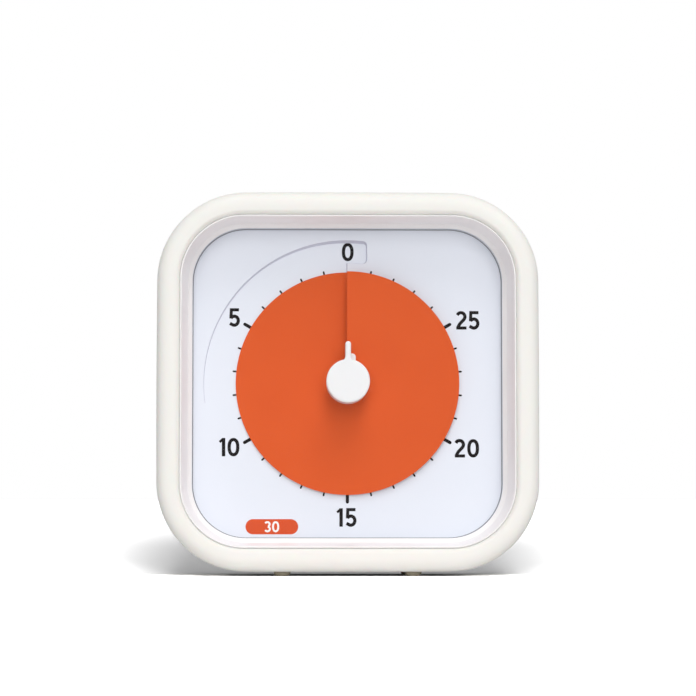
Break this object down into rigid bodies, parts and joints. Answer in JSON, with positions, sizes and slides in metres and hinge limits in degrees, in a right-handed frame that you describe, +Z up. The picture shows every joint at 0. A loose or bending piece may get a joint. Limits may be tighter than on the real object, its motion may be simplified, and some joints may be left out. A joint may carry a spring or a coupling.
{
  "type": "visual countdown timer",
  "caption": "Square desk countdown timer with a turning disk that screws through its dial, a centre knob with a pointer, a soft sleeve on nub feet and a rear battery door.",
  "frame": {"origin": "middle of the overall box at the plane of the feet", "axes": "+Z up, -Y out of the dial towards the viewer, +X to the viewer's right; the depth along Y is the shortest extent"},
  "size_m": [0.0914, 0.046, 0.0918],
  "materials": {
    "silicone_cover": "matt soft silicone, off-white",
    "cream_rubber": "matt cream rubber",
    "white_case": "fine satin moulded plastic, white",
    "clear_lens": "clear polished acrylic",
    "dial_face": "pale blue-white satin dial with printed black marks",
    "orange_disk": "satin orange-red",
    "knob_white": "semi-gloss white",
    "bright_steel": "nickel plated steel",
    "spring_steel": "nickel plated spring steel",
    "gear_plastic": "natural acetal",
    "copper_winding": "enamelled copper wire",
    "movement_black": "black moulded plastic",
    "board_green": "green board lacquer",
    "slider_grey": "grey moulded plastic",
    "cell_wrap": "plain printed sleeve on a steel can"
  },
  "bodies": {
    "case": {"front_case": "white_case", "lens": "clear_lens", "dial_plate": "dial_face", "motor_stator": "bright_steel", "motor_coil": "copper_winding", "movement_front_plate": "movement_black", "movement_rear_shell": "movement_black", "movement_screws": "bright_steel", "rear_case": "white_case", "case_screws": "bright_steel", "circuit_board": "board_green", "board_parts": "movement_black", "board_screws": "bright_steel", "buzzer": "movement_black", "switch_body": "movement_black", "battery_cell": "cell_wrap", "battery_contact_positive": "spring_steel", "battery_contact_negative": "spring_steel"},
    "sleeve": {"silicone_sleeve": "silicone_cover", "sleeve_feet": "cream_rubber"},
    "knob": {"setting_knob": "knob_white", "output_arbor": "bright_steel", "friction_spring": "spring_steel"},
    "disk": {"timer_disk": "orange_disk", "disk_hub": "orange_disk"},
    "center_wheel": {"center_wheel": "gear_plastic"},
    "third_wheel": {"third_wheel": "gear_plastic"},
    "second_wheel": {"second_wheel": "gear_plastic"},
    "rotor": {"motor_rotor": "gear_plastic"},
    "door": {"battery_door": "white_case", "door_screw": "bright_steel"},
    "slider": {"alert_slider": "slider_grey"}
  },
  "joints": [
    {"name": "knob_turn", "type": "hinge", "parent": "case", "child": "knob", "pos_m": [0, 0, 0.04645], "axis": [0, 1, 0], "range_deg": [0, 360]},
    {"name": "disk_advance", "type": "slide", "parent": "knob", "child": "disk", "axis": [0, 1, 0], "range_m": [0, 0.003]},
    {"name": "center_wheel_turn", "type": "hinge", "parent": "case", "child": "center_wheel", "pos_m": [0, 0, 0.04645], "axis": [0, 1, 0], "range_deg": [0, 360]},
    {"name": "third_wheel_turn", "type": "hinge", "parent": "case", "child": "third_wheel", "pos_m": [0.00751, 0, 0.04015], "axis": [0, 1, 0], "range_deg": [-2160, 0]},
    {"name": "second_wheel_turn", "type": "hinge", "parent": "case", "child": "second_wheel", "pos_m": [0.00463, 0, 0.03226], "axis": [0, 1, 0], "range_deg": [0, 10800]},
    {"name": "rotor_turn", "type": "hinge", "parent": "case", "child": "rotor", "pos_m": [-0.00226, 0, 0.03347], "axis": [0, 1, 0], "range_deg": [-64800, 0]},
    {"name": "door_swing", "type": "hinge", "parent": "case", "child": "door", "pos_m": [-0.031, 0.023, 0.02745], "axis": [0, 0, 1], "range_deg": [0, 75]},
    {"name": "alert_slide", "type": "slide", "parent": "case", "child": "slider", "axis": [1, 0, 0], "range_m": [0, 0.003]},
    {"name": "sleeve_slide", "type": "slide", "parent": "case", "child": "sleeve", "axis": [0, -1, 0], "range_m": [0, 0.04]}
  ],
  "couplings": [
    {"joint": "knob_turn", "follows": "disk_advance", "rad_per_m": 2094.4},
    {"joint": "center_wheel_turn", "follows": "disk_advance", "rad_per_m": 2094.4},
    {"joint": "third_wheel_turn", "follows": "disk_advance", "rad_per_m": -12566},
    {"joint": "second_wheel_turn", "follows": "disk_advance", "rad_per_m": 62832},
    {"joint": "rotor_turn", "follows": "disk_advance", "rad_per_m": -376990}
  ]
}
